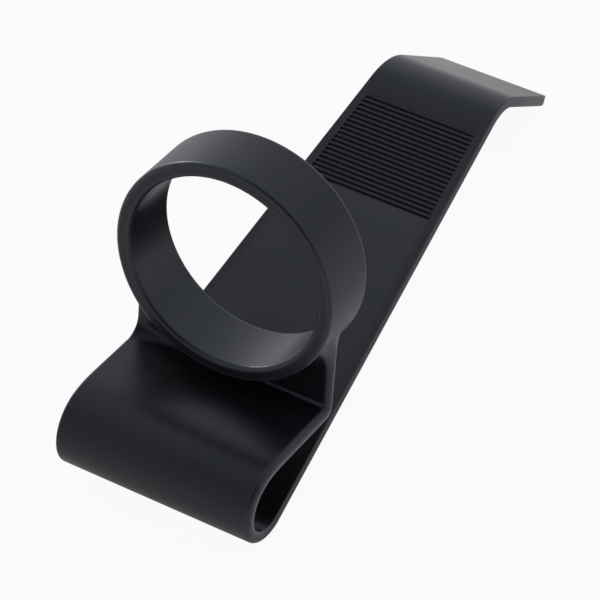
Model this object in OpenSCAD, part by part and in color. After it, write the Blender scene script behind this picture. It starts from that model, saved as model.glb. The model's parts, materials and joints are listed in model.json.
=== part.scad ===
// Ring on a spring clip, moulded in one piece from a bent plastic strip.
// It stands as it would on a table: on the underside of its spring bend and on the tip of its lip.
// Millimetres, +Z up, +Y from the spring bend to the lip, origin under the middle of the part.

/* [Ring] */
// Diameter of the ring's bore
ring_bore = 25; // [20:0.5:27]
// Thickness of the ring's wall
ring_wall = 1.9; // [1.5:0.1:2.6]
// Length of the ring along its axis
ring_len = 8.5; // [6:0.5:10]
// Radius that rounds the ring's four rims
ring_rim_r = 0.5; // [0.1:0.1:0.7]
// Gap between the ring's underside and the front leg
ring_gap = 1.8; // [1.5:0.1:4]

/* [Strip] */
// Thickness of the strip
strip_t = 1.5; // [1.3:0.1:2]
// Thickness of the riser
riser_t = 1.1; // [1:0.1:1.5]
// Width of the front leg and the riser
clip_w = 26.4; // [24:0.2:26.8]
// Inner radius of the spring bend
bend_r = 4; // [3.5:0.1:4.5]
// Angle at which the front leg closes on the back leg
clip_angle = 21; // [15:0.5:23]
// Length of the front leg, from the spring bend to the back of the riser
front_len = 13; // [12:0.2:15]
// Radius that rounds the outer edges of the front leg and the riser
edge_r = 0.7; // [0.2:0.1:0.8]
// Fillet in the corner between the front leg and the riser
fold_fillet_r = 0.5; // [0.2:0.1:0.6]
// Fillet where the riser runs into the ring
ring_fillet_r = 0.8; // [0.4:0.1:0.8]

/* [Back leg] */
// Length of the flat part of the back leg
leg_len = 61.4; // [50:0.2:75]
// Width of the back leg at the spring bend
leg_w = 26; // [22:0.2:26.4]
// Width of the back leg at its tip
tip_w = 15.4; // [10:0.2:20]
// Radius that rounds the lower edges of the back leg and its lip
under_edge_r = 0.4; // [0.2:0.1:0.8]
// Radius of the soft bend before the lip, on its upper face
lip_bend_r = 8.6; // [5:0.2:12]
// Angle by which the lip turns down
lip_angle = 50; // [30:1:60]
// Length of the straight part of the lip
lip_len = 12.4; // [8:0.2:16]

/* [Thumb grip] */
// Number of cross grooves
groove_n = 20; // [8:1:24]
// Distance from one groove to the next
groove_pitch = 0.7; // [0.6:0.05:1]
// Width of a groove
groove_w = 0.42; // [0.2:0.02:0.44]
// Depth of a groove
groove_depth = 0.3; // [0.1:0.05:0.5]
// Plain margin between the ends of the grooves and the sides of the leg
groove_margin = 1.2; // [0.5:0.05:2]
// Distance from the soft bend back to the first groove
groove_start = 3.2; // [1:0.2:6]

/* [Hidden] */
$fn = 96;
black = "#26282b";
// More than any piece is wide, for cuts that pass right through
through = 60;
// Angle between stations of the lofted bends, and steps round each corner of a loft's section
loft_step = 5;
corner_steps = 4;

ring_r = ring_bore / 2;
ring_outer_r = ring_r + ring_wall;
bend_outer_r = bend_r + strip_t;

// The side profile is drawn with the axis of the spring bend at its origin.
// The front leg, riser and ring are drawn along the front leg, which slopes down by clip_angle.
riser_mid = front_len - riser_t / 2;
ring_axis_h = bend_outer_r + ring_gap + ring_outer_r;

// Side profile of the lip, on its upper face and at the lower corner of its tip
lip_centre_z = -bend_r - lip_bend_r;
tip_y = leg_len + lip_bend_r * sin(lip_angle) + lip_len * cos(lip_angle);
tip_z = lip_centre_z + lip_bend_r * cos(lip_angle) - lip_len * sin(lip_angle);
heel_y = tip_y - strip_t * sin(lip_angle);
heel_z = tip_z - strip_t * cos(lip_angle);

// The part leans until the spring bend and the tip of the lip touch the table together
stand_angle = asin(-heel_z / norm([heel_y, heel_z])) - asin(bend_outer_r / norm([heel_y, heel_z]));
far_y = tip_y * cos(stand_angle) - tip_z * sin(stand_angle);
mid_y = (far_y - bend_outer_r) / 2;

// Half width of the back leg, which tapers evenly from the spring bend to the tip
function half_w(y) = (leg_w - (leg_w - tip_w) * y / tip_y) / 2;
taper = atan(half_w(0) - half_w(1));

// Sets the part on the table
module stand() {
    translate([0, -mid_y, bend_outer_r])
        rotate([stand_angle, 0, 0])
            children();
}

// Turns a side profile upright, so that its x and y become Y and Z and its height runs along X
module side_on() {
    rotate([90, 0, 90]) children();
}

// Slopes a side profile down along the front leg
module along_front() {
    side_on() rotate(-clip_angle) children();
}

// What a rounding tool of radius r takes off a corner at the origin that points down and left
module corner_waste(r) {
    difference() {
        square(r);
        translate([r, r]) circle(r);
    }
}

// Rectangle with its corner on the origin and all four corners rounded
module rounded_rect(size, r) {
    difference() {
        square(size);
        corner_waste(r);
        translate([size[0], 0]) mirror([1, 0]) corner_waste(r);
        translate([0, size[1]]) mirror([0, 1]) corner_waste(r);
        translate(size) rotate(180) corner_waste(r);
    }
}

// What the rounded edges of the strip's outer face lose, with that face on the y axis
module edge_waste(width, r) {
    for (side = [0, 1]) mirror([0, side])
        translate([0, -width / 2]) corner_waste(r);
}

// Cross-section of the strip, across y, with its outer face on the y axis
module strip_profile(width, thickness, r) {
    difference() {
        translate([0, -width / 2]) square([thickness, width]);
        edge_waste(width, r);
    }
}

// Points round the same section: across it, and through its thickness from the middle to the inner face
function section(half, r) = concat(
    [[half, strip_t / 2], [-half, strip_t / 2]],
    [for (side = [-1, 1]) for (i = [0 : corner_steps])
        let (a = 180 + 90 * ((side + 1) / 2 + i / corner_steps))
        [side * (half - r) + r * cos(a), r - strip_t / 2 + r * sin(a)]]
);

// A section in its place, at a station of [y, z, direction of its inner face, half width, edge radius]
function placed(station) = [
    for (p = section(station[3], station[4]))
        [p[0], station[0] + p[1] * cos(station[2]), station[1] + p[1] * sin(station[2])]
];

// Strip lofted through a row of stations
module loft(stations) {
    n = len(placed(stations[0]));
    last = len(stations) - 1;
    polyhedron(
        [for (s = stations) each placed(s)],
        concat(
            [[for (i = [0 : n - 1]) i]],
            [[for (i = [n - 1 : -1 : 0]) last * n + i]],
            [for (j = [0 : last - 1]) for (i = [0 : n - 1])
                [j * n + i, (j + 1) * n + i, (j + 1) * n + (i + 1) % n]],
            [for (j = [0 : last - 1]) for (i = [0 : n - 1])
                [j * n + i, (j + 1) * n + (i + 1) % n, j * n + (i + 1) % n]]
        )
    );
}

// Bar of the strip's section with its flank on the right side of the taper
module flank_bar() {
    translate([half_w(0), 0, 0]) rotate([90, 0, taper])
        linear_extrude(4 * leg_len, center = true)
            translate([-through, -bend_outer_r]) rotate(90) strip_profile(2 * through, strip_t, under_edge_r);
}

// Cross grooves of the thumb grip, each as long as the leg is wide there, less the margins
module grip_grooves() {
    for (i = [0 : groove_n - 1]) {
        y = leg_len - groove_start - i * groove_pitch;
        half_l = half_w(y) - groove_margin;
        translate([-half_l, y - groove_w / 2, -bend_r - groove_depth])
            cube([2 * half_l, groove_w, 2 * groove_depth]);
    }
}

// Long flat leg, tapered between its two flanks, with the thumb grip cut into its upper face
module back_leg() {
    color(black) stand() difference() {
        intersection() {
            flank_bar();
            mirror([1, 0, 0]) flank_bar();
            translate([-through / 2, 0, -through / 2]) cube([through, leg_len, through]);
        }
        grip_grooves();
    }
}

// Soft bend and turned-down lip, on the same taper as the leg
module end_lip() {
    mid_r = lip_bend_r - strip_t / 2;
    steps = round(lip_angle / loft_step);
    bend = [
        for (i = [0 : steps])
            let (a = lip_angle * i / steps, y = leg_len + mid_r * sin(a))
            [y, lip_centre_z + mid_r * cos(a), 90 - a, half_w(y), under_edge_r]
    ];
    end_y = tip_y - strip_t / 2 * sin(lip_angle);
    end_z = tip_z - strip_t / 2 * cos(lip_angle);
    color(black) stand() loft(concat(bend, [[end_y, end_z, 90 - lip_angle, half_w(end_y), under_edge_r]]));
}

// U-shaped spring, whose width and edges change from those of the front leg to those of the back leg
module spring_bend() {
    mid_r = bend_r + strip_t / 2;
    turn = 180 + clip_angle;
    steps = round(turn / loft_step);
    color(black) stand() loft([
        for (i = [0 : steps])
            let (a = 90 - clip_angle + turn * i / steps, share = pow(i / steps, 2))
            [mid_r * cos(a), mid_r * sin(a), a + 180,
             clip_w / 2 + share * (leg_w - clip_w) / 2, edge_r + share * (under_edge_r - edge_r)]
    ]);
}

// Leg that runs down from the spring bend to the mouth of the clip
module front_leg() {
    color(black) stand() along_front()
        rotate([0, 90, 0])
            linear_extrude(front_len - riser_t)
                translate([0, bend_outer_r]) rotate(-90) strip_profile(clip_w, strip_t, edge_r);
}

// Fillets between the ring and both faces of the riser, kept inside the riser's rounded edges
module ring_fillets() {
    intersection() {
        translate([riser_mid, ring_axis_h, 0]) rotate([0, 90, 0])
            for (face = [0, 1]) mirror([0, 0, face])
                rotate_extrude()
                    translate([ring_outer_r, riser_t / 2]) corner_waste(ring_fillet_r);
        translate([0, 0, edge_r - clip_w / 2])
            cube([through, ring_axis_h, clip_w - 2 * edge_r]);
    }
}

// Side profile of the fold, square inside and rounded outside, with its outside corner's lines on the axes
module fold_profile() {
    difference() {
        square([riser_t, strip_t]);
        translate([riser_t, 0]) mirror([1, 0]) corner_waste(riser_t);
    }
}

// Fold and upright web, cut to the outside of the ring that it carries
module ring_riser() {
    inner_x = front_len - riser_t;
    color(black) stand() along_front() {
        difference() {
            union() {
                translate([inner_x, bend_r, 0]) linear_extrude(clip_w, center = true) fold_profile();
                translate([inner_x, bend_outer_r, 0]) rotate([-90, 0, 0])
                    linear_extrude(ring_axis_h - bend_outer_r) strip_profile(clip_w, riser_t, edge_r);
                translate([inner_x, bend_outer_r, 0]) linear_extrude(clip_w - 2 * edge_r, center = true)
                    mirror([1, 0]) corner_waste(fold_fillet_r);
            }
            translate([inner_x, bend_outer_r, 0]) rotate(-90)
                rotate_extrude(angle = 90) edge_waste(clip_w, edge_r);
            translate([0, ring_axis_h, 0]) rotate([0, 90, 0])
                cylinder(r = ring_outer_r, h = 2 * front_len);
        }
        ring_fillets();
    }
}

// Short round ring with rounded rims, centred on the riser
module holder_ring() {
    color(black) stand() along_front()
        translate([riser_mid - ring_len / 2, ring_axis_h, 0])
            rotate([0, 90, 0])
                rotate_extrude()
                    translate([ring_r, 0]) rounded_rect([ring_wall, ring_len], ring_rim_r);
}

back_leg();
end_lip();
spring_bend();
front_leg();
ring_riser();
holder_ring();
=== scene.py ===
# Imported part
# The part is one moulding of black plastic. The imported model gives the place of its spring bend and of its
# ring, and the front leg's width. Every piece is drawn in millimetres from the axis of the spring bend.
import json
from math import asin, atan, cos, pi, radians, sin, sqrt

import bmesh
import bpy
from mathutils import Matrix, Vector


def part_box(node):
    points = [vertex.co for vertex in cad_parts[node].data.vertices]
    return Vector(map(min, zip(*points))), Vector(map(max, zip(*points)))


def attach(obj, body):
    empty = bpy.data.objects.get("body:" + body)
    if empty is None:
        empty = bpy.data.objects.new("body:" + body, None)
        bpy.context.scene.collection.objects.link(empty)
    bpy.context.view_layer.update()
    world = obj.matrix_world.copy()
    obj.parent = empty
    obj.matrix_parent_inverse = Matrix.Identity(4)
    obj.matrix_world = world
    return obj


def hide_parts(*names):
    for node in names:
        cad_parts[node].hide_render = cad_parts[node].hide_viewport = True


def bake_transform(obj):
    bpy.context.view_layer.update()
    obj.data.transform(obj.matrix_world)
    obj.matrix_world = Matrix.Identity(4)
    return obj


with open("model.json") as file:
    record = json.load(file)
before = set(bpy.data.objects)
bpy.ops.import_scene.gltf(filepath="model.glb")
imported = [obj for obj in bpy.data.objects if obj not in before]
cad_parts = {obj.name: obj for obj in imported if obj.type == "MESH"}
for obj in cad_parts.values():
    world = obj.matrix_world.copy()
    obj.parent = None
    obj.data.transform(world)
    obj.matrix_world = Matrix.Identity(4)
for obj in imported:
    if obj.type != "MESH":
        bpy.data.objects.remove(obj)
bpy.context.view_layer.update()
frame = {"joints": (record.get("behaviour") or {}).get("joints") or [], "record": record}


# Back leg and lip
# The longest run of the strip: a flat tapered leg that turns down at its narrow end in a soft bend and a
# plain lip. Moulded in black plastic, crisp along the edges of its upper face and rounded below. Twenty
# fine cross grooves just before the bend are a grip for the thumb.
spring_axis = Vector(frame["joints"][0]["pos_m"])
ring_mount = next(m for m in frame["record"]["mounts"] if m["name"] == "ring_bore")

MM = 0.001
strip_t = 1.5
bend_outer_r = spring_axis.z / MM
bend_r = bend_outer_r - strip_t
clip_angle = radians(21)
under_edge_r = (0.4, 0.4)
inner_edge_r = 0.08
least_edge_r = 0.03
flank_draw = 0.06
flank_steps = 4
flank_inner_share = (0.55, 0.95)
flank_outer_share = (0.05, 0.45)
edge_steps = 6
edge_support = 0.08
# How pale the rounded edges are painted: partly wear, partly a painted highlight
edge_wear = 0.08
sharp_angle = radians(40)

leg_len = 61.4
leg_w = 26.0
tip_w = 15.4
tip_edge_r = 0.2
lip_bend_r = 8.6
lip_angle = radians(50)
lip_len = 12.4
lip_steps = 20

groove_count = 20
groove_pitch = 0.7
groove_w = 0.42
groove_depth = 0.3
groove_margin = 1.2
groove_end = 0.12
groove_start = 3.2

# The front leg is parallel to the ring's axis, and that gives the angle of the back leg on the table
stand_angle = clip_angle - asin(ring_mount["axis"][2])
leg_frame = Matrix.Translation(spring_axis) @ Matrix.Rotation(stand_angle, 4, "X") @ Matrix.Scale(MM, 4)
joint_y = 1.0
tip_y = leg_len + lip_bend_r * sin(lip_angle) + lip_len * cos(lip_angle)


def half_width(y):
    """Half the back leg's width, which tapers evenly from the spring bend to the tip."""
    return (leg_w - (leg_w - tip_w) * y / tip_y) / 2


def strip_section(half, half_t, outer_r, inset=0.0, trim=0.0, inner=(), outer=()):
    """Points round the strip's cross-section as (across, through, paleness), the paleness being partly wear
    and
    partly a painted highlight: its four edges, the outer two rounded by a pair of radii at the right and the
    left, the two flanks, which draw in towards the inner face and are painted paler there as a painted
    highlight of the given share, and on its faces any further points, given as (across, depth) from right to
    left."""
    half, half_t = half - inset, half_t - inset
    inner_r = max(inner_edge_r - inset, least_edge_r)

    def corner(x, z, r, start, end, wear_and_highlight):
        turns = [start + (end - start) * i / edge_steps for i in range(edge_steps + 1)]
        return [(x + r * cos(turn), z + r * sin(turn), wear_and_highlight) for turn in turns]

    def edges(r):
        """The inner and the outer edge of the right side, each with its half of the flank."""
        r = max(r - inset, least_edge_r)
        flank_foot = r - half_t
        flank_h = half_t - inner_r - flank_foot
        lean = atan(2 * flank_draw / flank_h)

        def flank(first, last):
            shares = [first + (last - first) * i / (flank_steps - 1) for i in range(flank_steps)]
            # Towards the inner face the flank is painted paler, a painted highlight
            return [
                (half - flank_draw * share ** 2, flank_foot + flank_h * share, trim * share ** 2)
                for share in shares
            ]

        inner_x = half - flank_draw - inner_r * cos(lean)
        inner_edge = corner(inner_x, half_t - inner_r, inner_r, lean, pi / 2, edge_wear + trim)
        outer_edge = corner(half - r, flank_foot, r, -pi / 2, 0, edge_wear)
        return (
            [*flank(*flank_inner_share), *inner_edge, (inner_x - edge_support, half_t, 0.0)],
            [(half - r - edge_support, -half_t, 0.0), *outer_edge, *flank(*flank_outer_share)],
        )

    def other_side(points):
        return [(-x, z, wear_and_highlight) for x, z, wear_and_highlight in reversed(points)]

    (right_inner, right_outer), (left_inner, left_outer) = (edges(r) for r in outer_r)
    return [
        *right_inner, *((x, half_t - depth, 0.0) for x, depth in inner), *other_side(left_inner),
        *other_side(left_outer), *((x, depth - half_t, 0.0) for x, depth in reversed(outer)), *right_outer,
    ]


def strip_ring(outer_face, inner_face, half, outer_r, inset=0.0, **points):
    """The cross-section in its place, between the strip's two faces in side view."""
    outer_face, inner_face = Vector(outer_face), Vector(inner_face)
    middle = (outer_face + inner_face) / 2
    through = (inner_face - outer_face).normalized()
    half_t = (inner_face - outer_face).length / 2
    section = strip_section(half, half_t, outer_r, inset, **points)
    return [(x, *(middle + s * through), wear_and_highlight) for x, s, wear_and_highlight in section]


def skin(name, rings, endless=False):
    """Skins a row of like rings of points into one closed smooth piece, with the paleness of its edges and
    flanks, partly wear and partly a painted highlight, marked on them.
    """
    count, rows = len(rings[0]), len(rings)
    faces = []
    for j in range(rows if endless else rows - 1):
        near, far = j * count, (j + 1) % rows * count
        for i in range(count):
            after = (i + 1) % count
            faces.append((near + i, near + after, far + after, far + i))
    if not endless:
        for first in (0, (rows - 1) * count):
            last = first + count - 1
            faces += [(first + i, first + i + 1, last - i - 1, last - i) for i in range(count // 2 - 1)]
    points = [leg_frame @ Vector(p[:3]) for ring in rings for p in ring]
    return finish_mesh(name, points, faces, [p[3] for ring in rings for p in ring])


def finish_mesh(name, points, faces, wear_and_highlight):
    """Makes a piece from its points and faces, with outward faces and soft shading up to a sharp edge."""
    mesh = bpy.data.meshes.new(name)
    mesh.from_pydata(points, [], faces)
    solid = bmesh.new()
    solid.from_mesh(mesh)
    bmesh.ops.recalc_face_normals(solid, faces=solid.faces)
    solid.to_mesh(mesh)
    solid.free()
    mesh.shade_smooth()
    mesh.set_sharp_from_angle(angle=sharp_angle)
    # The paleness of edges and flanks, partly wear and partly a painted highlight, goes on as a point
    # attribute
    worn_and_lit = mesh.attributes.new("edge_wear", "FLOAT", "POINT")
    worn_and_lit.data.foreach_set("value", wear_and_highlight)
    piece = bpy.data.objects.new(name, mesh)
    bpy.context.scene.collection.objects.link(piece)
    return piece


def grip_points(half, depth=0.0):
    """Both ends of a groove on the upper face, each a short slope inside the plain margin."""
    end = half - groove_margin
    return [(end, 0.0), (end - groove_end, depth), (groove_end - end, depth), (-end, 0.0)]


def leg_ring(y, depth=0.0):
    """A section of the flat leg, at some depth of a groove."""
    half = half_width(y)
    grip, plain = grip_points(half, depth), grip_points(half)
    return strip_ring((y, -bend_outer_r), (y, -bend_r), half, under_edge_r, inner=grip, outer=plain)


def lip_ring(angle, run=0.0, inset=0.0):
    """A section of the lip, at an angle of its bend and then a distance along the straight."""
    centre = Vector((leg_len, -bend_r - lip_bend_r))
    outward = Vector((sin(angle), cos(angle)))
    along = Vector((cos(angle), -sin(angle))) * run
    under = centre + (lip_bend_r - strip_t) * outward + along
    top = centre + lip_bend_r * outward + along
    half = half_width((under.x + top.x) / 2)
    plain = grip_points(half)
    return strip_ring(under, top, half, under_edge_r, inset, inner=plain, outer=plain)


# One wall of a groove in shares of its width and depth, from the upper face down to the floor
groove_wall = [(-0.56, 0.0), (-0.5, 0.06), (-0.36, 0.85), (-0.22, 1.0)]
groove_profile = groove_wall + [(-across, deep) for across, deep in reversed(groove_wall)]
leg_rings = [leg_ring(joint_y)]
for i in reversed(range(groove_count)):
    groove_y = leg_len - groove_start - i * groove_pitch
    for across, deep in groove_profile:
        leg_rings.append(leg_ring(groove_y + across * groove_w, groove_depth * deep))
leg_rings += [lip_ring(lip_angle * i / lip_steps) for i in range(lip_steps + 1)]
for i in range(edge_steps + 1):
    turn = pi / 2 * i / edge_steps
    run = lip_len - tip_edge_r * (1 - sin(turn))
    leg_rings.append(lip_ring(lip_angle, run, inset=tip_edge_r * (1 - cos(turn))))

back_leg = skin("back_leg_and_lip", leg_rings)


class Socket:
    """A shader node's output. Python's operators on it add Math nodes, and node() adds any other node."""

    def __init__(self, tree, output=None):
        self.tree = tree
        self.output = output

    def node(self, kind, output, inputs, **settings):
        """Adds a node: its settings first, then the values or links of its sockets."""
        made = self.tree.nodes.new(kind)
        for name, value in settings.items():
            setattr(made, name, value)
        for name, value in inputs.items():
            if isinstance(value, Socket):
                self.tree.links.new(value.output, made.inputs[name])
            else:
                made.inputs[name].default_value = value
        return Socket(self.tree, made.outputs[output] if made.outputs else None)

    def math(self, operation, first, second):
        return self.node("ShaderNodeMath", 0, {0: first, 1: second}, operation=operation)

    def __add__(self, other):
        return self.math("ADD", self, other)

    def __sub__(self, other):
        return self.math("SUBTRACT", self, other)

    def __rsub__(self, other):
        return self.math("SUBTRACT", other, self)

    def __mul__(self, other):
        return self.math("MULTIPLY", self, other)

    __radd__, __rmul__ = __add__, __mul__

    def mix(self, first, second):
        """Goes from the first colour to the second as this value goes from 0 to 1. In a Mix node the sockets
        6 and 7 take the two colours, and output 2 gives the mixed one."""
        return self.node("ShaderNodeMix", 2, {0: self, 6: first, 7: second}, data_type="RGBA")


def new_material(name):
    """An empty material and a socket that starts its nodes."""
    material = bpy.data.materials.new(name)
    material.use_nodes = True
    material.node_tree.nodes.clear()
    return material, Socket(material.node_tree)


# Black plastic as it comes from a spark-eroded mould: a fine even grain and faint flow clouds. Its rounded
# edges and the inner part of some flanks are painted paler: partly wear where handling has polished the
# edges a little, partly a painted highlight for the light they catch. Where the mould's core pin was
# polished, the plastic is smoother too
plastic_black = (0.0085, 0.0086, 0.0095, 1)
plastic_cloud = (0.0108, 0.011, 0.012, 1)
# The paler colour of edges and flanks: partly wear, partly a painted highlight
plastic_edge = (0.32, 0.324, 0.333, 1)
plastic_roughness = 0.34
cloud_roughness = 0.1
grain_roughness = 0.08
grain_per_m = 5200
cloud_per_m = 130
smudge_per_m = 420
smudge_relief = 0.6
relief_strength = 0.1
relief_height = 0.00003
even_wear_and_highlight = 0.7
smudged_wear_and_highlight = 0.6
polish_coat = 0.25

black_plastic, start = new_material("black_plastic")
place = start.node("ShaderNodeTexCoord", "Object", {})
grain, cloud, smudge = (
    start.node(
        "ShaderNodeTexNoise", "Fac",
        {"Vector": place, "Scale": per_m, "Detail": detail, "Roughness": roughness},
    )
    for per_m, detail, roughness in (
        (grain_per_m, 2.0, 0.55), (cloud_per_m, 4.0, 0.6), (smudge_per_m, 5.0, 0.65),
    )
)
# Edges and flanks are painted paler: partly wear, partly a painted highlight
wear_and_highlight = start.node("ShaderNodeAttribute", "Fac", {}, attribute_name="edge_wear")
worn_and_lit = wear_and_highlight * (even_wear_and_highlight + smudged_wear_and_highlight * smudge)
polish = start.node("ShaderNodeAttribute", "Fac", {}, attribute_name="polish")
relief = start.node("ShaderNodeBump", "Normal", {
    "Height": grain + smudge_relief * smudge,
    "Strength": relief_strength,
    "Distance": relief_height,
})
plastic = start.node("ShaderNodeBsdfPrincipled", "BSDF", {
    "Base Color": worn_and_lit.mix(cloud.mix(plastic_black, plastic_cloud), plastic_edge),
    "Roughness": plastic_roughness + cloud_roughness * (cloud - 0.5) + grain_roughness * (grain - 0.5),
    "IOR": 1.5,
    "Coat Weight": polish_coat * polish,
    "Coat Roughness": 0.22,
    "Normal": relief,
})
start.node("ShaderNodeOutputMaterial", None, {"Surface": plastic})

back_leg.data.materials.append(black_plastic)
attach(back_leg, "back")
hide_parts("back_leg", "end_lip")


# Spring bend
# The U-shaped bend between the two legs, moulded in one with them, and the only spring: the clip opens and
# shuts by flexing it. Its width and its rounded outer edges change from those of the back leg to those of
# the front leg, which are rounder at the right than at the left.
front_low, front_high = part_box("front_leg")
clip_w = (front_high.x - front_low.x) / MM
edge_r = (0.7, 0.25)
spring_mid_r = (bend_outer_r + bend_r) / 2
spring_ease = 3.0
spring_steps = 24
front_run = Vector((cos(clip_angle), -sin(clip_angle)))
front_rise = Vector((sin(clip_angle), cos(clip_angle)))


def front_point(along, up):
    """A point in side view, at a distance along the front leg and square to it."""
    return along * front_run + up * front_rise


# The bend eases out into the front leg. That lifts the leg by spring_ease ** 2 / 6 / upper_r, so the upper
# half of the bend is a little tighter than its lower half
ease_lift = spring_ease ** 2 / 6 / (1 + sin(clip_angle))
upper_r = (spring_mid_r + sqrt(spring_mid_r ** 2 - 4 * ease_lift)) / 2
lower_run = spring_mid_r * pi / 2
upper_run = upper_r * (pi / 2 + clip_angle) - spring_ease

back_turn = 1.5 * pi
spring_rings = [strip_ring((joint_y, -bend_outer_r), (joint_y, -bend_r), half_width(joint_y), under_edge_r)]
middle = Vector((0, -spring_mid_r))
turn = back_turn
for length, from_r, ease_out in (
    (0, spring_mid_r, 0),
    (lower_run, spring_mid_r, 0),
    (upper_run, upper_r, 0),
    (2 * spring_ease, upper_r, 1),
):
    for i in range(spring_steps if length else 1):
        step = length / spring_steps
        turned = step / from_r * (1 - ease_out * (i + 0.5) / spring_steps)
        middle = middle + step * Vector((sin(turn - turned / 2), -cos(turn - turned / 2)))
        turn -= turned
        through = strip_t / 2 * Vector((cos(turn), sin(turn)))
        back_share = (1 - (back_turn - turn) / (pi + clip_angle)) ** 2
        half = clip_w / 2 + back_share * (leg_w - clip_w) / 2
        r = [front + back_share * (back - front) for front, back in zip(edge_r, under_edge_r)]
        # The flanks take on more of the painted highlight as the bend nears the front leg
        spring_rings.append(strip_ring(middle + through, middle - through, half, r, trim=1 - back_share))
joint_run = middle.dot(front_run)

spring_bend = skin("spring_bend", spring_rings)
spring_bend.data.materials.append(black_plastic)

back_end = Vector((0, -bend_r))
front_end = front_point(0, bend_r)
across = (front_end - back_end).normalized()
reach = min(-across.dot(Vector((joint_y, -bend_r))), across.dot(front_point(joint_run, bend_r)))
leg_frame @ Vector((0, *(-reach * across)))
leg_frame @ Vector((0, *(reach * across)))
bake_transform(spring_bend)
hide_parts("spring_bend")


# Front leg and riser
# The strip runs down from the spring bend to the mouth of the clip, folds up at a right angle into an
# upright web, and the web runs into the underside of the ring with a fillet on each face. All of it is
# moulded in one with the bend and the ring.
riser_t = 1.1
fold_fillet_r = 0.5
fold_flare_left = 1.9
fold_flare_right = 0.3
fold_flare_power = 3
fold_margin = 0.4
fold_steps = 12
web_steps = 48
web_reach = 0.92
web_shares = (0.1, 0.55)
ring_r = ring_mount["dims"]["r_mm"]
ring_wall = 1.9
ring_outer_r = ring_r + ring_wall
ring_fillet_r = 0.8
ring_fillet_flare = 2.3
ring_flare_power = 4
ring_sink = 0.7
fillet_steps = 7

ring_place = leg_frame.inverted() @ Vector(ring_mount["pos_m"])
ring_centre = Vector((ring_place.y, ring_place.z))
riser_mid, ring_axis_h = ring_centre.dot(front_run), ring_centre.dot(front_rise)
riser_front = riser_mid - riser_t / 2
riser_back = riser_front + riser_t

web_points = [(clip_w / 2 * web_reach * (1 - 2 * i / web_steps), 0.0) for i in range(web_steps + 1)]


def front_ring(thick, outer_face, inner_face):
    """A section of the strip between its two faces in side view, each of which may vary across it."""
    # The flanks here carry the full painted highlight
    section = strip_section(clip_w / 2, thick / 2, edge_r, trim=1.0, inner=web_points, outer=web_points)
    return [
        (x, *front_point(*outer_face(x).lerp(inner_face(x), s / thick + 0.5)), wear_and_highlight)
        for x, s, wear_and_highlight in section
    ]


def leg_section(run):
    """A section of the flat front leg."""
    return front_ring(strip_t, lambda x: Vector((run, bend_outer_r)), lambda x: Vector((run, bend_r)))


def fold_r(x):
    """The fillet inside the fold, which grows towards its ends."""
    flare = fold_flare_left if x < 0 else fold_flare_right
    return fold_fillet_r + flare * abs(2 * x / clip_w) ** fold_flare_power


def fold_section(turn):
    """A section of the fold: the fillet inside it, and a full round outside."""
    outward = Vector((sin(turn), -cos(turn)))
    under = Vector((riser_front, bend_r + riser_t)) + riser_t * outward
    inside = Vector((riser_front, bend_outer_r))
    return front_ring(
        strip_t + (riser_t - strip_t) * sin(turn) ** 2,
        lambda x: inside + fold_r(x) * (outward + Vector((-1, 1))), lambda x: under,
    )


def ring_fillet(x):
    """The fillet between the web's outer face and the ring, which grows towards the web's two edges."""
    return ring_fillet_r + ring_fillet_flare * (2 * x / clip_w) ** ring_flare_power


def ring_height(x, gap):
    """The height in the web at one distance from the outside of the ring."""
    return ring_axis_h - sqrt((ring_outer_r + gap) ** 2 - x * x)


def web_section(share):
    """A section of the plain web, at a share of the way from the fold's fillet up to the ring's."""
    def height(x, fillet):
        return (1 - share) * (bend_outer_r + fold_r(x)) + share * ring_height(x, fillet)

    return front_ring(
        riser_t, lambda x: Vector((riser_front, height(x, ring_fillet(x)))),
        lambda x: Vector((riser_back, height(x, ring_fillet_r))),
    )


def fillet_section(turn, sunk=0.0):
    """A section of the fillets on the web's two faces as they turn out into the ring."""
    out, near = 1 - cos(turn), 1 - sin(turn)
    return front_ring(
        riser_t + (ring_fillet(clip_w / 2) + ring_fillet_r) * out,
        lambda x: Vector((riser_front - ring_fillet(x) * out, ring_height(x, ring_fillet(x) * near - sunk))),
        lambda x: Vector((riser_back + ring_fillet_r * out, ring_height(x, ring_fillet_r * near - sunk))),
    )


fold_start = riser_front - fold_fillet_r - fold_flare_left
front_rings = [leg_section(joint_run), leg_section(fold_start - fold_margin)]
front_rings += [fold_section(pi / 2 * i / fold_steps) for i in range(fold_steps + 1)]
front_rings += [web_section(share) for share in web_shares]
front_rings += [fillet_section(pi / 2 * i / fillet_steps) for i in range(fillet_steps + 1)]
front_rings.append(fillet_section(pi / 2, sunk=ring_sink))

front_leg = skin("front_leg_and_riser", front_rings)
front_leg.data.materials.append(black_plastic)
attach(front_leg, "front")
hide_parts("front_leg", "ring_riser")


# Holder ring
# A short plain ring with rounded rims, whose axis is parallel to the front leg. It is moulded onto the riser
# in the same black plastic, and its outer band is bare.
ring_len = 8.5
rim_r = 0.5
rim_steps = 6
ring_segments = 192

ring_mid_r = ring_r + ring_wall / 2
rim_half = ring_wall / 2 - rim_r
band_half = ring_len / 2 - rim_r
rim_profile = []
for quarter, (out, end) in enumerate([(1, 1), (-1, 1), (-1, -1), (1, -1)]):
    for i in range(rim_steps + 1):
        turn = pi / 2 * (quarter + i / rim_steps)
        radius = ring_mid_r + out * rim_half + rim_r * cos(turn)
        run = end * band_half + rim_r * sin(turn)
        # The rounded rims are painted pale like the strip's edges: partly wear, partly a painted highlight
        rim_profile.append((radius, run, edge_wear))
    for side in (1, -1):
        if out == end:
            radius = ring_mid_r + side * out * (rim_half - edge_support)
            run = end * ring_len / 2
        else:
            radius = ring_r if out < 0 else ring_outer_r
            run = side * end * (band_half - edge_support)
        rim_profile.append((radius, run, 0.0))

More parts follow.
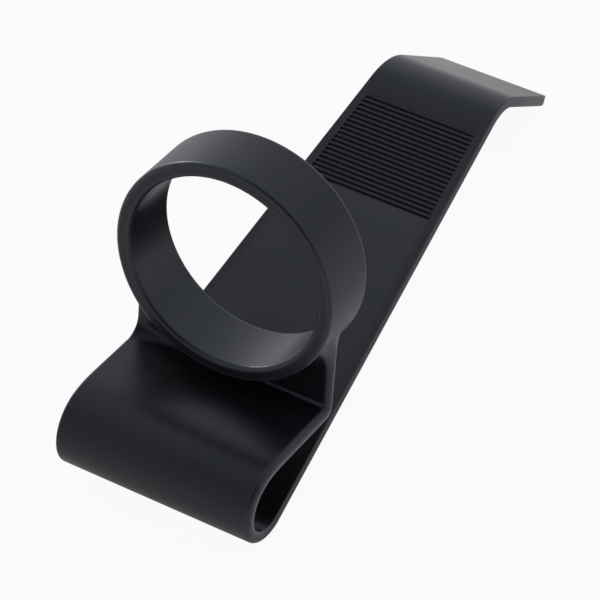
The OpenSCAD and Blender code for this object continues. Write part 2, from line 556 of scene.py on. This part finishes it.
ring_rings = []
for i in range(ring_segments):
    turn = 2 * pi * i / ring_segments
    ring_rings.append([
        (radius * sin(turn), *front_point(riser_mid + run, ring_axis_h - radius * cos(turn)), wear_and_highlight)
        for radius, run, wear_and_highlight in rim_profile
    ])

holder_ring = skin("holder_ring", ring_rings, endless=True)
in_bore = [float(radius < ring_r + rim_r / 2) for radius, _, _ in rim_profile]
polished = holder_ring.data.attributes.new("polish", "FLOAT", "POINT")
polished.data.foreach_set("value", in_bore * ring_segments)
holder_ring.data.materials.append(black_plastic)
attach(holder_ring, "front")
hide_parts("holder_ring")


# Table
# A plain white table under the part, pale enough to read as the white of a product picture. It takes the
# part's shadow. The plastic mirrors it a little darker, apart from a painted pool of light: a glow in the
# table's paint that only mirrored rays see, put behind the lip so that the lip shows it as a painted
# reflection.
table_size = 6.0
table_white = (0.92, 0.89, 0.85, 1)
seen_white = 0.94
plain_white = 0.28
# A pool of light painted into the table's glow, seen only in mirrored rays: a painted reflection in the lip
painted_pool_glow = 0.8
painted_pool_centre = (-0.03, 0.09, 0)
painted_pool_r = 0.045
painted_pool_edge_r = 0.07

table_half = table_size / 2
table_corners = [(x * table_half, y * table_half, 0) for x, y in ((-1, -1), (1, -1), (1, 1), (-1, 1))]
table_mesh = bpy.data.meshes.new("table")
table_mesh.from_pydata(table_corners, [], [(0, 1, 2, 3)])
table = bpy.data.objects.new("table", table_mesh)
bpy.context.scene.collection.objects.link(table)
table_paint, start = new_material("table_paint")
through_glass = start.node("ShaderNodeLightPath", "Is Transmission Ray", {})
seen = start.node("ShaderNodeLightPath", "Is Camera Ray", {}) + through_glass
mirrored = start.node("ShaderNodeLightPath", "Is Glossy Ray", {})
place = start.node("ShaderNodeTexCoord", "Object", {})
from_painted_pool = start.node("ShaderNodeVectorMath", "Value", {0: place, 1: painted_pool_centre}, operation="DISTANCE")
# Mirrored rays see the plain glow, and inside the painted pool a brighter painted light
mirrored_white_and_painted_pool = start.node(
    "ShaderNodeMapRange", "Result",
    {
        "Value": from_painted_pool,
        "From Min": painted_pool_r, "From Max": painted_pool_edge_r,
        "To Min": painted_pool_glow, "To Max": plain_white,
    },
    interpolation_type="SMOOTHSTEP",
)
paint = start.node("ShaderNodeBsdfDiffuse", "BSDF", {"Color": table_white})
glow = start.node("ShaderNodeEmission", "Emission", {"Color": (1, 1, 1, 1), "Strength": 1.0})
white_share = seen_white * seen + mirrored_white_and_painted_pool * mirrored
lit = start.node("ShaderNodeMixShader", 0, {0: white_share, 1: paint, 2: glow})
start.node("ShaderNodeOutputMaterial", None, {"Surface": lit})
table.data.materials.append(table_paint)


# Camera
# A long lens from the front right and above, a little tilted, as the part was photographed.
aim = Vector((0.00333, -0.012681, 0.012))
camera_distance = 0.402474
camera_azimuth = radians(33.327)
camera_elevation = radians(47.448)
camera_roll = radians(-3.724)

camera_data = bpy.data.cameras.new("camera")
camera_data.sensor_width = 36
camera_data.lens = 204
camera_data.clip_start = 0.01
camera = bpy.data.objects.new("camera", camera_data)
toward_camera = Vector((
    sin(camera_azimuth) * cos(camera_elevation),
    -cos(camera_azimuth) * cos(camera_elevation),
    sin(camera_elevation),
))
level_view = (-toward_camera).to_track_quat("-Z", "Y").to_matrix().to_4x4()
camera_place = Matrix.Translation(aim + camera_distance * toward_camera)
camera.matrix_world = camera_place @ level_view @ Matrix.Rotation(camera_roll, 4, "Z")
bpy.context.scene.collection.objects.link(camera)
bpy.context.scene.camera = camera


# Studio light
# A pale room that is dark only behind the camera, a small key lamp low at the left, and a large weak panel
# behind that grazes the lip and the ring.
room_colour = (0.88, 0.97, 1.2, 1)
room_level = 0.5
dark_inside = cos(radians(15))
dark_outside = cos(radians(50))

bpy.context.scene.view_settings.view_transform = "Standard"
world = bpy.data.worlds.new("studio")
bpy.context.scene.world = world
world.use_nodes = True
world.node_tree.nodes.clear()
start = Socket(world.node_tree)
direction = start.node("ShaderNodeTexCoord", "Generated", {})
facing = start.node(
    "ShaderNodeVectorMath", "Value", {0: direction, 1: toward_camera}, operation="DOT_PRODUCT",
)
dark = start.node(
    "ShaderNodeMapRange", "Result", {"Value": facing, "From Min": dark_outside, "From Max": dark_inside},
    interpolation_type="SMOOTHSTEP",
)
room = start.node("ShaderNodeBackground", "Background", {"Color": room_colour, "Strength": room_level})
shade = start.node("ShaderNodeBackground", "Background", {"Color": (0, 0, 0, 1)})
studio = start.node("ShaderNodeMixShader", 0, {0: dark, 1: room, 2: shade})
start.node("ShaderNodeOutputWorld", None, {"Surface": studio})

lamp_distance = 1.6
for name, side, height, size, watts in (
    ("key_lamp", -62, 15, (0.5, 0.5), 6.7),
    ("back_panel", -14, 18, (2.2, 0.8), 1.5),
):
    lamp_data = bpy.data.lights.new(name, "AREA")
    lamp_data.shape = "RECTANGLE"
    lamp_data.size, lamp_data.size_y = size
    lamp_data.energy = watts
    lamp = bpy.data.objects.new(name, lamp_data)
    side, height = radians(side), radians(height)
    toward_lamp = Vector((sin(side) * cos(height), cos(side) * cos(height), sin(height)))
    turned = toward_lamp.to_track_quat("Z", "Y").to_matrix().to_4x4()
    lamp.matrix_world = Matrix.Translation(lamp_distance * toward_lamp) @ turned
    bpy.context.scene.collection.objects.link(lamp)
